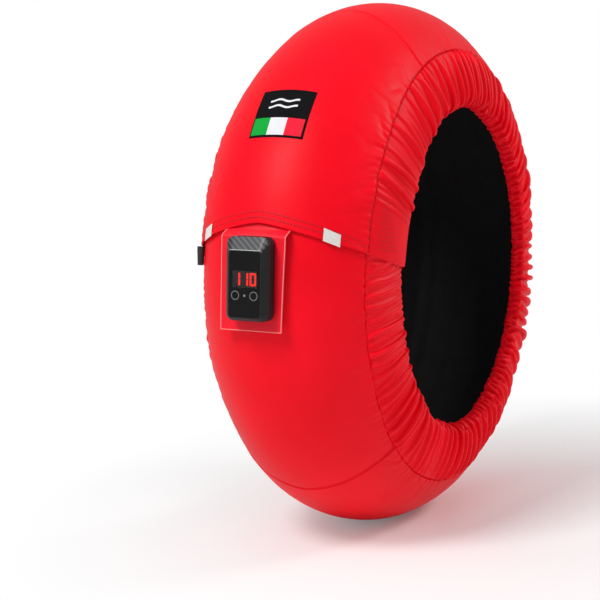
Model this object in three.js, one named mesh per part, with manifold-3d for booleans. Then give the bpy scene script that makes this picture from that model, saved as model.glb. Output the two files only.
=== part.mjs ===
import * as THREE from "three";
import { mergeVertices } from "three/addons/utils/BufferGeometryUtils.js";
import Module from "manifold-3d";

// A heated cover for the rear tyre of a motorcycle, in the shape that it takes on the tyre.
// Lengths are millimetres. The origin is the wheel's centre, +Y runs along its axle and +Z is up.
// A point on the cover has three coordinates: the angle in degrees round the wheel, from the front
// (-X, where the controller hangs) over the top; the turn in degrees round the cloth's section,
// 0 at the crown, 90 at the widest point and 180 at the hem, positive towards -Y; and the
// height above the outer face of the cloth.

const wasm = await Module();
wasm.setup();

// Angles of a circle
const quarterTurn = 90;
const halfTurn = 180;
const fullTurn = 360;

// The tyre, and the layers that lie on it from the inside out
const tyreRadius = 326;
const liningThickness = 0.6;
const elementThickness = 0.8;
const wadThickness = 4.1;
const clothThickness = 1.0;
const layerGap = 0.3;
const wadClearance = 0.4;

// The cover's section
const halfWidth = 120.5;
const crownToWidest = 123;
const hemInset = 13.6;
const hemDrop = 4.1;
const seamTurn = 59.4;
const wadEdgeTurn = 75;
const seamGap = 0.5;

// Where the panels begin and end round the wheel, at the crown
const flapHemAngle = 13;
const crossSeamAngle = 74;
const lowerSeamAngle = -48.5;
const frontEndAngle = 30;
const flapHemSlant = 7.4;
const flapHemBend = 1.25;
const crossSeamSlant = 13;
const crossSeamLastTurn = 61.4;
const lowerSeamSlant = 4.5;

// The flap rises over the front panel and comes down to the tyre again between these angles
const flapRiseEndAngle = 34;
const flapRestAngle = 62;

// Gathers that the elastic draws into the side panels
const gatherAngle = 6;
const gatherDepth = 5;
const gatherStartTurn = 45;
const gatherFullTurn = 110;
const seamPucker = 0.6;

// Each gather differs a little from the next in its place and depth
const gatherSway = 0.32;
const gatherSwayRate = 2.4;
const crestChange = 0.35;
const crestChangeRate = 1.7;

// Under the flap the front panel is held smooth, and the flap's own corner is left ungathered
const coveredGatherShare = 0.12;
const coveredFromAngle = -8;
const coveredToAngle = 2;
const cornerFlatAngle = 12;
const cornerFullAngle = 26;

// Elastic sewn inside each hem
const elasticThickness = 1.0;
const elasticClearance = 0.6;
const elasticHemShare = 0.5;
const elasticSteps = 56;
const elasticTuckAngle = 3;
const elasticEndAngle = 2;
const liningHemClearance = 2.0;
const liningBendTurn = 86;

// Steps of angle between the lines of vertices, with a pair of lines level with each other at
// the bottom, so that the cloth has one flat facet on the floor there
const clothStepAngle = 5;
const innerStepAngle = 15;
const firstLineAngle = clothStepAngle / 2;
const endMarginAngle = 1;
const columnSlack = 0.1;
const innerEndGapAngle = 0.5;
const flatHalfTurn = 10.8;

// Fastening tape between the flap and the front panel
const loopTapeThickness = 0.8;
const tapeStartAngle = 16;
const tapeEndAngle = 27;
const tapeEdgeTurn = 44;

// Heating element: a flat tape in lanes round the tyre
const laneTurns = [-49, -19, 19, 49];
const laneHalfWidth = 3.5;
const elementEndAngle = 2;
const crossTapeAngle = 2.5;

// Temperature probe, sewn in between the lanes
const probeAngle = 65;
const probeLengthAngle = 3;
const probeHalfTurn = 2;

// Woven patch on the flap
const patchLowAngle = 30.3;
const patchHighAngle = 41.5;
const patchHalfTurn = 16;
const patchThickness = 0.7;

// White tags sewn to the flap's hem
const tagThickness = 0.4;
const tagTurnRange = [34.8, 45.6];
const tagHeightShare = [0.1, 0.56];
const tagLineAngle = firstLineAngle + 3 * clothStepAngle;

// Tab that carries the controller: two leaves of cloth with the supply lead between them
const tabHalfWidth = 43;
const tabBelowCentre = 59.5;
const tabTuckAngle = 1.8;
const tabExitAngle = 0.25;
const tabPlay = 0.15;
const tabFlatHalf = 28;
const tabFlatAbove = 1;
const tabSideDrop = [1.5, 6];
const tabLeafThickness = 0.5;
const leadThickness = 0.5;
const leadWidth = 10;
const leadHoleRadius = 3.5;
const leadHoleHeight = 26;

// Controller case
const caseHeight = 16;
const caseHalfWidth = 26;
const caseHalfLength = 46.5;
const caseCorner = 8;
const caseWall = 2;
const caseFootInset = 2;
const backDepth = 8.7;
const frontDepth = 12.1;
const faceHalfWidth = 20.5;
const faceCorner = 4;
const bevelDepth = 6;
const topBevel = 15;
const bottomBevel = 3.5;
const gasketThickness = 0.6;
const gasketWidth = 1.6;
const gasketInset = 0.4;
const smallestCorner = 1;
const pieceGap = 0.3;

// Overlay, lens and display on the case's face
const overlayThickness = 0.6;
const overlayInset = 1.2;
const windowHalfWidth = 16;
const windowHalfHeight = 9.5;
const digitHeight = 14.3;
const digitWidth = 8;
const digitStroke = 2.2;
const digitPitch = 10;
const digitRise = 0.25;
const segmentGap = 0.6;
const displayStandoff = 4;
const keyHeight = -18;
const keySpread = 11.5;
const keyRadius = 5;
const keyRing = 0.7;
const keyRise = 0.2;
const lampRadius = 1.4;
const boardThickness = 1.6;
const boardClearance = 2;
const springRadius = 4;

// Clamp plate and its screws
const clampThickness = 1.5;
const clampHalfWidth = 21;
const clampHalfLength = 36;
const clampCorner = 5;
const screwSpread = [15, 29];
const screwRadius = 1.4;
const screwHeadRadius = 2.8;
const screwHeadDepth = 1.3;
const screwHeadRim = 0.2;
const screwBite = 5;
const bossRadius = 3.6;

// Rubber boot where the mains lead would leave the flap
const bootRadius = 4.5;
const bootTipRadius = 3.4;
const bootLength = 22;
const bootCollar = 4;
const bootBore = 2.4;
const bootBoreDepth = 14;
const bootTurn = -56;
const bootDrop = 0.4;
const bootAimAngle = 5;

// How far a cutter runs past what it cuts, and how many sides the round pieces have
const cutterReach = 1;
const tabCutterReach = 5;
const ringSides = 16;
const lampSides = 10;
const screwSides = 10;
const bootSides = 14;
const cornerSteps = 3;

// Vertices closer together than this are one vertex
const weldDistance = 1e-3;
const sameLine = 1e-9;

// Worked out from the sizes above
const stackThickness =
  liningThickness + elementThickness + wadThickness + clothThickness + 2 * layerGap + wadClearance;
const crownRadius = tyreRadius + stackThickness;
const widestRadius = crownRadius - crownToWidest;
const wadTop = -clothThickness - wadClearance;
const wadBottom = wadTop - wadThickness;
const elementTop = wadBottom - layerGap;
const elementBottom = elementTop - elementThickness;
const liningTop = elementBottom - layerGap;
const tabStack = 2 * tabLeafThickness + leadThickness + 2 * layerGap;
const flapSpace = tabStack + 2 * layerGap + tabPlay;
const flapRise = flapSpace + clothThickness;

// Lines of vertices across the cloth's section
const halfTreadTurns = [flatHalfTurn, 27, 46, seamTurn];
const treadTurns = [...halfTreadTurns.map((turn) => -turn).reverse(), ...halfTreadTurns];
const sideTurns = [seamTurn, wadEdgeTurn, quarterTurn, halfTurn];

const cloth = new THREE.MeshStandardMaterial({ color: 0xf0001c, roughness: 0.45 });
const tabCloth = new THREE.MeshStandardMaterial({ color: 0xf51a2e, roughness: 0.55 });
const lining = new THREE.MeshStandardMaterial({ color: 0x17171a, roughness: 0.9 });
const wadding = new THREE.MeshStandardMaterial({ color: 0xd9d4c4, roughness: 1 });
const copper = new THREE.MeshStandardMaterial({ color: 0xb5713c, roughness: 0.4, metalness: 1 });
const elastic = new THREE.MeshStandardMaterial({ color: 0x1c1c1e, roughness: 0.8 });
const tape = new THREE.MeshStandardMaterial({ color: 0x101012, roughness: 0.95 });
const moulding = new THREE.MeshStandardMaterial({ color: 0x1d1f22, roughness: 0.5 });
const gloss = new THREE.MeshStandardMaterial({ color: 0x08090b, roughness: 0.12 });
const smoked = new THREE.MeshStandardMaterial({
  color: 0x14080a,
  roughness: 0.05,
  transparent: true,
  opacity: 0.5,
});
const lit = new THREE.MeshStandardMaterial({ color: 0xff2010, emissive: 0xff2010 });
const board = new THREE.MeshStandardMaterial({ color: 0x1e5b34, roughness: 0.6 });
const steel = new THREE.MeshStandardMaterial({ color: 0xc5c8cc, roughness: 0.3, metalness: 1 });
const rubber = new THREE.MeshStandardMaterial({ color: 0x1b1b1d, roughness: 0.8 });
const label = new THREE.MeshStandardMaterial({ color: 0x111114, roughness: 0.8 });
const tag = new THREE.MeshStandardMaterial({ color: 0xe8e6e0, roughness: 0.8 });

// The section at one turn: its distance along the axle and from it, raised along the normal.
// A quarter of an ellipse runs from the crown to the widest point, and a small one on to the hem.
function sectionPoint(turn, height) {
  const size = Math.abs(turn);
  const nearHem = size > quarterTurn;
  const bend = THREE.MathUtils.degToRad(nearHem ? size - quarterTurn : size);
  const sin = nearHem ? Math.cos(bend) : Math.sin(bend);
  const cos = nearHem ? -Math.sin(bend) : Math.cos(bend);
  const across = nearHem ? hemInset : halfWidth;
  const up = nearHem ? hemDrop : crownToWidest;
  const middle = nearHem ? halfWidth - hemInset : 0;
  const normal = new THREE.Vector2(sin / across, cos / up).normalize();
  return {
    y: -Math.sign(turn) * (middle + across * sin + normal.x * height),
    r: widestRadius + up * cos + normal.y * height,
  };
}

// A point on the cover
function coverPoint(angle, turn, height) {
  const { y, r } = sectionPoint(turn, height);
  const round = THREE.MathUtils.degToRad(angle);
  return new THREE.Vector3(-r * Math.cos(round), y, r * Math.sin(round));
}

// How far a turn has gone towards the widest point, up to a limit
function reach(turn, limit = quarterTurn) {
  return Math.min(Math.abs(turn), limit) / quarterTurn;
}

// The edges of the panels, as angles that change with the turn
const flapHem = (turn) => flapHemAngle - flapHemSlant * reach(turn) ** flapHemBend;
const crossSeam = (turn) => crossSeamAngle - crossSeamSlant * reach(turn, crossSeamLastTurn);
const lowerSeam = (turn) => lowerSeamAngle + lowerSeamSlant * reach(turn);
const straight = (angle) => () => angle;
const moved = (edge, angle) => (turn) => edge(turn) + angle;
const seamAngleGap = THREE.MathUtils.radToDeg(seamGap / crownRadius);
const seamTurnGap = THREE.MathUtils.radToDeg(seamGap / crownToWidest);

// How far the cloth stands off its usual place at an angle of the flap
function flapHeight(angle) {
  return flapRise * (1 - THREE.MathUtils.smoothstep(angle, flapRiseEndAngle, flapRestAngle));
}

// A closed sheet of quads: point(column, row, outer) gives its corners
function sheet(columns, rows, point) {
  const positions = [];
  const index = [];
  const at = (outer, i, j) => (outer * (columns + 1) + i) * (rows + 1) + j;
  const quad = (a, b, c, d) => index.push(a, b, c, a, c, d);
  for (const outer of [0, 1])
    for (let i = 0; i <= columns; i++)
      for (let j = 0; j <= rows; j++) positions.push(...point(i, j, outer).toArray());
  for (let i = 0; i < columns; i++)
    for (let j = 0; j < rows; j++) {
      quad(at(1, i, j), at(1, i, j + 1), at(1, i + 1, j + 1), at(1, i + 1, j));
      quad(at(0, i, j), at(0, i + 1, j), at(0, i + 1, j + 1), at(0, i, j + 1));
    }
  for (let i = 0; i < columns; i++) {
    quad(at(0, i, 0), at(1, i, 0), at(1, i + 1, 0), at(0, i + 1, 0));
    quad(at(0, i, rows), at(0, i + 1, rows), at(1, i + 1, rows), at(1, i, rows));
  }
  for (let j = 0; j < rows; j++) {
    quad(at(0, 0, j), at(0, 0, j + 1), at(1, 0, j + 1), at(1, 0, j));
    quad(at(0, columns, j), at(1, columns, j), at(1, columns, j + 1), at(0, columns, j + 1));
  }
  const geometry = new THREE.BufferGeometry();
  geometry.setAttribute("position", new THREE.Float32BufferAttribute(positions, 3));
  geometry.setIndex(index);
  return geometry;
}

// Edges of a panel's columns: whole steps of angle, and even steps to the slanted ends
function columnLines(start, end, step) {
  const turns = [0, seamTurn, quarterTurn, halfTurn];
  const first = Math.max(...turns.map(start)) + endMarginAngle;
  const last = Math.min(...turns.map(end)) - endMarginAngle;
  const firstWhole = Math.ceil((first - firstLineAngle) / step) * step + firstLineAngle;
  const whole = [];
  for (let angle = firstWhole; angle <= last; angle += step) whole.push(straight(angle));
  const between = (low, high) => {
    const widest = Math.max(...turns.map((turn) => high(turn) - low(turn)));
    const count = Math.ceil(widest / step - columnSlack);
    const shares = Array.from({ length: count - 1 }, (_, k) => (k + 1) / count);
    return shares.map((at) => (turn) => THREE.MathUtils.lerp(low(turn), high(turn), at));
  };
  return [start, ...between(start, whole[0]), ...whole, ...between(whole.at(-1), end), end];
}

// Cloth with the given columns and turns, between two heights that may change over it
function layer(columns, turns, bottom, top) {
  return sheet(columns.length - 1, turns.length - 1, (i, j, outer) => {
    const angle = columns[i](turns[j]);
    const height = (outer ? top : bottom)(angle, turns[j], i);
    return coverPoint(angle, turns[j], height);
  });
}

// A point on the flat facets of such a layer, so that what lies on it meets it everywhere
function onFacets(columns, turns, angle, turn, height) {
  const j = Math.max(1, turns.findIndex((line, k) => k && turn <= line + sameLine));
  const v = (turn - turns[j - 1]) / (turns[j] - turns[j - 1]);
  const line = (k) => THREE.MathUtils.lerp(columns[k](turns[j - 1]), columns[k](turns[j]), v);
  const found = columns.findIndex((_, k) => k && angle <= line(k) + sameLine);
  const i = found < 1 ? columns.length - 1 : found;
  const u = (angle - line(i - 1)) / (line(i) - line(i - 1));
  const corner = (k, row) => {
    const at = columns[k](turns[row]);
    return coverPoint(at, turns[row], height(at));
  };
  const low = corner(i - 1, j - 1).lerp(corner(i - 1, j), v);
  const high = corner(i, j - 1).lerp(corner(i, j), v);
  return low.lerp(high, u);
}

function solidOf(geometry) {
  const bare = geometry.index ? geometry.toNonIndexed() : geometry.clone();
  bare.deleteAttribute("normal");
  bare.deleteAttribute("uv");
  const merged = mergeVertices(bare, weldDistance);
  return new wasm.Manifold(
    new wasm.Mesh({
      numProp: 3,
      vertProperties: merged.attributes.position.array,
      triVerts: new Uint32Array(merged.index.array),
    }),
  );
}

function geometryOf(solid) {
  const mesh = solid.getMesh();
  const geometry = new THREE.BufferGeometry();
  geometry.setAttribute("position", new THREE.BufferAttribute(mesh.vertProperties, mesh.numProp));
  geometry.setIndex(new THREE.BufferAttribute(mesh.triVerts, 1));
  return geometry;
}

function cut(geometry, tools) {
  return geometryOf(tools.reduce((body, tool) => body.subtract(solidOf(tool)), solidOf(geometry)));
}

function join(geometries) {
  return geometryOf(geometries.map(solidOf).reduce((body, next) => body.add(next)));
}

const warmer = new THREE.Group();

function addTo(group, name, geometry, material) {
  const mesh = new THREE.Mesh(geometry, material);
  mesh.name = name;
  group.add(mesh);
  return mesh;
}

const flapColumns = columnLines(flapHem, moved(crossSeam, -seamAngleGap / 2), clothStepAngle);
const mainColumns = columnLines(
  moved(crossSeam, seamAngleGap / 2),
  moved(lowerSeam, fullTurn - seamAngleGap / 2),
  clothStepAngle,
);
const frontColumns = columnLines(
  moved(lowerSeam, seamAngleGap / 2),
  straight(frontEndAngle),
  clothStepAngle,
);

// Tread panels: smooth cloth over the crown, one sheet each
function addTreadPanel(name, columns, rise) {
  const last = treadTurns.length - 1;
  const turns = [...treadTurns];
  turns[0] += seamTurnGap;
  turns[last] -= seamTurnGap;
  const bottom = (angle) => rise(angle) - clothThickness;
  addTo(warmer, name, layer(columns, turns, bottom, rise), cloth);
}

// Side panels: cloth drawn into gathers that deepen from the seam to the hem
function addSidePanel(name, start, end, side, rise, fullness) {
  const count = 2 * Math.round((end(seamTurn) - start(seamTurn)) / gatherAngle);
  const columns = Array.from({ length: count + 1 }, (_, k) => {
    const sway = k === 0 || k === count ? 0 : gatherSway * Math.sin(gatherSwayRate * k);
    return (turn) => THREE.MathUtils.lerp(start(turn), end(turn), (k + sway) / count);
  });
  const turns = side > 0 ? sideTurns : sideTurns.map((turn) => -turn).reverse();
  const gather = (angle, turn, k) => {
    const crest = k % 2 ? 1 - crestChange + crestChange * Math.sin(crestChangeRate * k) : 0;
    const size = Math.abs(turn);
    const drawn = size <= seamTurn ? 0 : THREE.MathUtils.smoothstep(size, gatherStartTurn, gatherFullTurn);
    const depth = THREE.MathUtils.lerp(seamPucker, gatherDepth, drawn);
    return rise(angle) + crest * fullness(angle) * depth;
  };
  const bottom = (angle, turn, k) => gather(angle, turn, k) - clothThickness;
  addTo(warmer, name, layer(columns, turns, bottom, gather), cloth);
}

const flat = () => 0;
const full = () => 1;
const flapFullness = (angle) => THREE.MathUtils.smoothstep(angle, cornerFlatAngle, cornerFullAngle);
const frontFullness = (angle) => {
  const covered = THREE.MathUtils.smoothstep(angle, coveredFromAngle, coveredToAngle);
  return THREE.MathUtils.lerp(1, coveredGatherShare, covered);
};

addTreadPanel("flap_tread_panel", flapColumns, flapHeight);
addTreadPanel("main_tread_panel", mainColumns, flat);
addTreadPanel("front_tread_panel", frontColumns, flat);
for (const [hand, side] of [["right", 1], ["left", -1]]) {
  addSidePanel(
    `flap_side_${hand}`,
    flapHem,
    moved(crossSeam, -seamAngleGap),
    side,
    flapHeight,
    flapFullness,
  );
  addSidePanel(
    `main_side_${hand}`,
    moved(crossSeam, seamAngleGap),
    moved(lowerSeam, fullTurn - seamAngleGap),
    side,
    flat,
    full,
  );
  addSidePanel(
    `front_side_${hand}`,
    moved(lowerSeam, seamAngleGap),
    straight(frontEndAngle),
    side,
    flat,
    frontFullness,
  );
}

// Wadding and lining go once round the tyre and meet under the end of the front panel
const innerStart = frontEndAngle + innerEndGapAngle;
const innerEnd = frontEndAngle + fullTurn - innerEndGapAngle;
const innerColumns = columnLines(straight(innerStart), straight(innerEnd), innerStepAngle);
const liningDepth = (turn) => {
  const atHem = -clothThickness - elasticClearance - elasticThickness - liningHemClearance;
  const thinned = THREE.MathUtils.smoothstep(Math.abs(turn), seamTurn, quarterTurn);
  return THREE.MathUtils.lerp(liningTop, atHem, thinned);
};
const wadTurns = [-wadEdgeTurn, ...treadTurns, wadEdgeTurn];
const liningTurns = [-halfTurn, -liningBendTurn, ...wadTurns, liningBendTurn, halfTurn];

addTo(
  warmer,
  "insulation_wadding",
  layer(
    innerColumns,
    wadTurns,
    (angle, turn) => Math.max(wadBottom, liningDepth(turn) + layerGap),
    (angle) => wadTop + flapHeight(angle),
  ),
  wadding,
);
addTo(
  warmer,
  "inner_lining",
  layer(
    innerColumns,
    liningTurns,
    (angle, turn) => liningDepth(turn) - liningThickness,
    (angle, turn) => liningDepth(turn),
  ),
  lining,
);

// The lines of a layer between two angles, with both ends, and the tread's lines within a turn
function linesBetween(columns, start, end) {
  const angles = columns.map((line) => line(0));
  return [start, ...angles.filter((angle) => angle > start && angle < end), end];
}

function turnsWithin(edge) {
  return [-edge, ...treadTurns.filter((turn) => Math.abs(turn) < edge), edge];
}

// A point on the flap's tread, at a height above its cloth
function onFlap(angle, turn, height) {
  return onFacets(flapColumns, treadTurns, angle, turn, (at) => flapHeight(at) + height);
}

// Tape that follows the facets of the wadding between two angles and two turns
function elementTape(columns, turns) {
  return sheet(columns.length - 1, turns.length - 1, (i, j, outer) => {
    const height = outer ? elementTop : elementBottom;
    return onFacets(innerColumns, wadTurns, columns[i], turns[j], () => height);
  });
}

function addHeatingElement() {
  const start = innerStart + elementEndAngle;
  const end = innerEnd - elementEndAngle;
  const columns = linesBetween(innerColumns, start, end);
  const laneEdge = THREE.MathUtils.radToDeg(laneHalfWidth / crownToWidest);
  const lanes = laneTurns.map((turn) => elementTape(columns, [turn - laneEdge, turn + laneEdge]));
  const crossings = laneTurns.slice(1).map((turn, k) => {
    const between = treadTurns.filter((line) => line > laneTurns[k] && line < turn);
    const edge = k % 2 ? end : start;
    const other = edge + (k % 2 ? -1 : 1) * crossTapeAngle;
    return elementTape([edge, other].sort((a, b) => a - b), [laneTurns[k], ...between, turn]);
  });
  addTo(warmer, "heating_element", join([...lanes, ...crossings]), copper);
}
addHeatingElement();

addTo(
  warmer,
  "temperature_probe",
  elementTape([probeAngle, probeAngle + probeLengthAngle], [-probeHalfTurn, probeHalfTurn]),
  steel,
);

// Flat elastic along each hem, from the flap's hem right round to the end of the front panel
function addElastic(hand, side) {
  const start = flapHemAngle - elasticTuckAngle;
  const end = frontEndAngle + fullTurn - elasticEndAngle;
  const near = -clothThickness - elasticClearance;
  const edge = (angle, turn, height) => coverPoint(angle, side * turn, height + flapHeight(angle));
  const geometry = sheet(elasticSteps, 1, (i, j, outer) => {
    const angle = THREE.MathUtils.lerp(start, end, i / elasticSteps);
    const height = outer ? near : near - elasticThickness;
    const atHem = edge(angle, halfTurn, height);
    const inner = edge(angle, quarterTurn, height).lerp(atHem, 1 - elasticHemShare);
    return (side > 0) === (j === 1) ? atHem : inner;
  });
  addTo(warmer, `hem_elastic_${hand}`, geometry, elastic);
}
addElastic("right", 1);
addElastic("left", -1);

// Loop tape on the front panel and hook tape under the flap
function addTape(name, bottom, top) {
  const angles = linesBetween(frontColumns, tapeStartAngle, tapeEndAngle);
  const turns = turnsWithin(tapeEdgeTurn);
  const geometry = sheet(angles.length - 1, turns.length - 1, (i, j, outer) =>
    onFacets(frontColumns, treadTurns, angles[i], turns[j], () => (outer ? top : bottom)),
  );
  addTo(warmer, name, geometry, tape);
}
const loopTop = layerGap + loopTapeThickness;
addTape("loop_tape", layerGap, loopTop);
addTape("hook_tape", loopTop + layerGap, flapSpace - layerGap);

// Woven patch, stitched flat to the flap
function addPatch() {
  const angles = linesBetween(flapColumns, patchLowAngle, patchHighAngle);
  const turns = turnsWithin(patchHalfTurn);
  const geometry = sheet(angles.length - 1, turns.length - 1, (i, j, outer) => {
    const height = layerGap + outer * patchThickness;
    return onFlap(angles[i], turns[j], height);
  });
  addTo(warmer, "woven_patch", geometry, label);
}
addPatch();

// A small white tag on each side of the flap, just above its hem
function addTag(hand, side) {
  const geometry = sheet(1, 1, (i, j, outer) => {
    const turn = side > 0 ? tagTurnRange[j] : -tagTurnRange[1 - j];
    const angle = THREE.MathUtils.lerp(flapHem(turn), tagLineAngle, tagHeightShare[i]);
    return onFlap(angle, turn, layerGap + outer * tagThickness);
  });
  addTo(warmer, `hem_tag_${hand}`, geometry, tag);
}
addTag("right", 1);
addTag("left", -1);

// The controller's own frame: x to the reader's right, y up, z out of the display, z = 0 on the tab
const controller = new THREE.Group();
const caseAngle = Math.asin(caseHeight / crownRadius);
const tabRadius = crownRadius + pieceGap + clampThickness + pieceGap + tabStack;
controller.matrixAutoUpdate = false;
controller.matrix.makeBasis(
  new THREE.Vector3(0, -1, 0),
  new THREE.Vector3(Math.sin(caseAngle), 0, Math.cos(caseAngle)),
  new THREE.Vector3(-Math.cos(caseAngle), 0, Math.sin(caseAngle)),
);
controller.matrix.setPosition(-tabRadius * Math.cos(caseAngle), 0, tabRadius * Math.sin(caseAngle));
const intoController = controller.matrix.clone().invert();
warmer.add(controller);

// One leaf of the tab: tucked under the flap, then out and down in front of the cover, flat
// behind the case and falling back beside it
function tabLeaf(lowest, thickness, halfAcross, lowEnd) {
  const bendAcross = Math.abs(sectionPoint(flatHalfTurn, 0).y);
  const turnAt = (x) => THREE.MathUtils.radToDeg(Math.asin(x / halfWidth));
  const wide = halfAcross > bendAcross;
  const bends = (across) => (wide ? [-halfAcross, -across, across, halfAcross] : [-halfAcross, halfAcross]);
  const tucked = bends(bendAcross);
  const hanging = bends(tabFlatHalf);
  const last = tucked.length - 1;
  return sheet(3, last, (i, j, outer) => {
    const height = lowest + outer * thickness;
    if (i >= 2) {
      const turn = turnAt(tucked[j]);
      const edgeTurn = turnAt(Math.max(Math.abs(tucked[j]), bendAcross));
      const angle = i === 3 ? flapHemAngle + tabTuckAngle : flapHem(edgeTurn) - tabExitAngle;
      const point = onFacets(frontColumns, treadTurns, angle, turn, () => layerGap + tabPlay + height);
      return point.applyMatrix4(intoController);
    }
    const beside = wide && (j === 0 || j === last);
    const back = beside ? tabSideDrop[i] : 0;
    const level = i === 1 ? caseHalfLength + tabFlatAbove : lowEnd;
    return new THREE.Vector3(hanging[j], level, height - tabStack - back);
  });
}

function screwPlaces() {
  return [-1, 1].flatMap((x) => [-1, 1].map((y) => [x * screwSpread[0], y * screwSpread[1]]));
}

// A round bar along z, used as a cutter and as a boss
function bar(x, y, radius, low, high, sides = 12) {
  const geometry = new THREE.CylinderGeometry(radius, radius, high - low, sides);
  geometry.rotateX(Math.PI / 2);
  geometry.translate(x, y, (low + high) / 2);
  return geometry;
}

const screwClearance = screwRadius + pieceGap;
const holeTools = (low, high) => screwPlaces().map(([x, y]) => bar(x, y, screwClearance, low, high));
const leadHole = (low, high) => bar(0, leadHoleHeight, leadHoleRadius, low, high);
const screwHolesInTab = holeTools(-tabCutterReach, tabCutterReach);

const leadLevel = tabLeafThickness + layerGap;
const frontLevel = leadLevel + leadThickness + layerGap;
addTo(
  controller,
  "tab_back_leaf",
  cut(tabLeaf(0, tabLeafThickness, tabHalfWidth, -tabBelowCentre), screwHolesInTab),
  tabCloth,
);
addTo(
  controller,
  "tab_front_leaf",
  cut(tabLeaf(frontLevel, tabLeafThickness, tabHalfWidth, -tabBelowCentre), [
    ...screwHolesInTab,
    leadHole(-tabCutterReach, tabCutterReach),
  ]),
  tabCloth,
);
addTo(
  controller,
  "supply_lead",
  tabLeaf(leadLevel, leadThickness, leadWidth / 2, leadHoleHeight - leadHoleRadius),
  rubber,
);

// A block lofted through rounded outlines, each at its own depth
function loft(outlines) {
  const positions = [];
  const index = [];
  const ringSize = 4 * (cornerSteps + 1);
  for (const { z, half, top, bottom, corner } of outlines) {
    const centres = [
      [half - corner, top - corner],
      [corner - half, top - corner],
      [corner - half, bottom + corner],
      [half - corner, bottom + corner],
    ];
    centres.forEach(([x, y], quarter) => {
      for (let k = 0; k <= cornerSteps; k++) {
        const round = (Math.PI / 2) * (quarter + k / cornerSteps);
        positions.push(x + corner * Math.cos(round), y + corner * Math.sin(round), z);
      }
    });
  }
  const triangle = (a, b, c) => index.push(a, b, c);
  for (let level = 0; level + 1 < outlines.length; level++)
    for (let k = 0; k < ringSize; k++) {
      const a = level * ringSize + k;
      const b = level * ringSize + ((k + 1) % ringSize);
      triangle(a, b, b + ringSize);
      triangle(a, b + ringSize, a + ringSize);
    }
  const lastRing = (outlines.length - 1) * ringSize;
  for (let k = 1; k + 1 < ringSize; k++) {
    triangle(0, k + 1, k);
    triangle(lastRing, lastRing + k, lastRing + k + 1);
  }
  const geometry = new THREE.BufferGeometry();
  geometry.setAttribute("position", new THREE.Float32BufferAttribute(positions, 3));
  geometry.setIndex(index);
  return geometry;
}

function outline(z, inset = 0) {
  return {
    z,
    half: caseHalfWidth - inset,
    top: caseHalfLength - inset,
    bottom: inset - caseHalfLength,
    corner: Math.max(caseCorner - inset, smallestCorner),
  };
}

function faceOutline(z, inset = 0) {
  return {
    z,
    half: faceHalfWidth - inset,
    top: caseHalfLength - topBevel - inset,
    bottom: bottomBevel + inset - caseHalfLength,
    corner: Math.max(faceCorner - inset, smallestCorner),
  };
}

const backBottom = pieceGap;
const backTop = backBottom + backDepth;
const gasketBottom = backTop + pieceGap;
const gasketTop = gasketBottom + gasketThickness;
const frontBottom = gasketTop + pieceGap;
const faceLevel = frontBottom + frontDepth;
const bevelLevel = faceLevel - bevelDepth;
const overlayFloor = faceLevel - overlayThickness - pieceGap;

// Back shell: open tray with a boss for each screw
function addBackShell() {
  const shell = cut(
    loft([outline(backBottom, caseFootInset), outline(backBottom + caseFootInset), outline(backTop)]),
    [loft([outline(backBottom + caseWall, caseWall), outline(backTop + cutterReach, caseWall)])],
  );
  const bosses = screwPlaces().map(([x, y]) =>
    bar(x, y, bossRadius, backBottom + caseWall / 2, backTop - pieceGap),
  );
  const holes = screwPlaces().map(([x, y]) =>
    bar(x, y, screwClearance, backBottom - cutterReach, backBottom + screwBite + pieceGap + caseWall),
  );
  const opening = leadHole(backBottom - cutterReach, backBottom + caseWall + cutterReach);
  addTo(controller, "case_back", cut(join([shell, ...bosses]), [...holes, opening]), moulding);
}
addBackShell();

// Seal between the shells
addTo(
  controller,
  "case_gasket",
  cut(loft([outline(gasketBottom, gasketInset), outline(gasketTop, gasketInset)]), [
    loft([
      outline(gasketBottom - cutterReach, gasketInset + gasketWidth),
      outline(gasketTop + cutterReach, gasketInset + gasketWidth),
    ]),
  ]),
  rubber,
);

// Front shell: long bevel at the top, chamfered sides, a recess for the overlay and a window
function addFrontShell() {
  const shell = cut(loft([outline(frontBottom), outline(bevelLevel), faceOutline(faceLevel)]), [
    loft([
      outline(frontBottom - cutterReach, caseWall),
      outline(bevelLevel - caseWall, caseWall),
      faceOutline(overlayFloor - caseWall, caseWall),
    ]),
    loft([faceOutline(overlayFloor, overlayInset), faceOutline(faceLevel + cutterReach, overlayInset)]),
    windowBlock(overlayFloor - caseWall - cutterReach, faceLevel, 0),
    bar(0, keyHeight, lampRadius + pieceGap, overlayFloor - caseWall - cutterReach, faceLevel),
  ]);
  addTo(controller, "case_front", shell, moulding);
}

function windowBlock(low, high, inset) {
  const half = windowHalfWidth - inset;
  const tall = windowHalfHeight - inset;
  const at = (z) => ({ z, half, top: tall, bottom: -tall, corner: smallestCorner });
  return loft([at(low), at(high)]);
}
addFrontShell();

// Overlay with two raised key rings round the lamp, and a window for the display
function addOverlay() {
  const low = overlayFloor + pieceGap;
  const high = low + overlayThickness;
  const inset = overlayInset + pieceGap;
  const body = loft([faceOutline(low, inset), faceOutline(high, inset)]);
  const rings = [-1, 1].map((side) =>
    cut(bar(side * keySpread, keyHeight, keyRadius, low + keyRise, high + keyRise, ringSides), [
      bar(side * keySpread, keyHeight, keyRadius - keyRing, high, high + cutterReach, ringSides),
    ]),
  );
  const sheetWithRings = join([body, ...rings]);
  const openings = [
    windowBlock(low - cutterReach, high + cutterReach, 0),
    bar(0, keyHeight, lampRadius + pieceGap, low - cutterReach, high + cutterReach),
  ];
  addTo(controller, "front_overlay", cut(sheetWithRings, openings), gloss);
  addTo(controller, "display_lens", windowBlock(low, high, pieceGap), smoked);
}
addOverlay();

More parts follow.
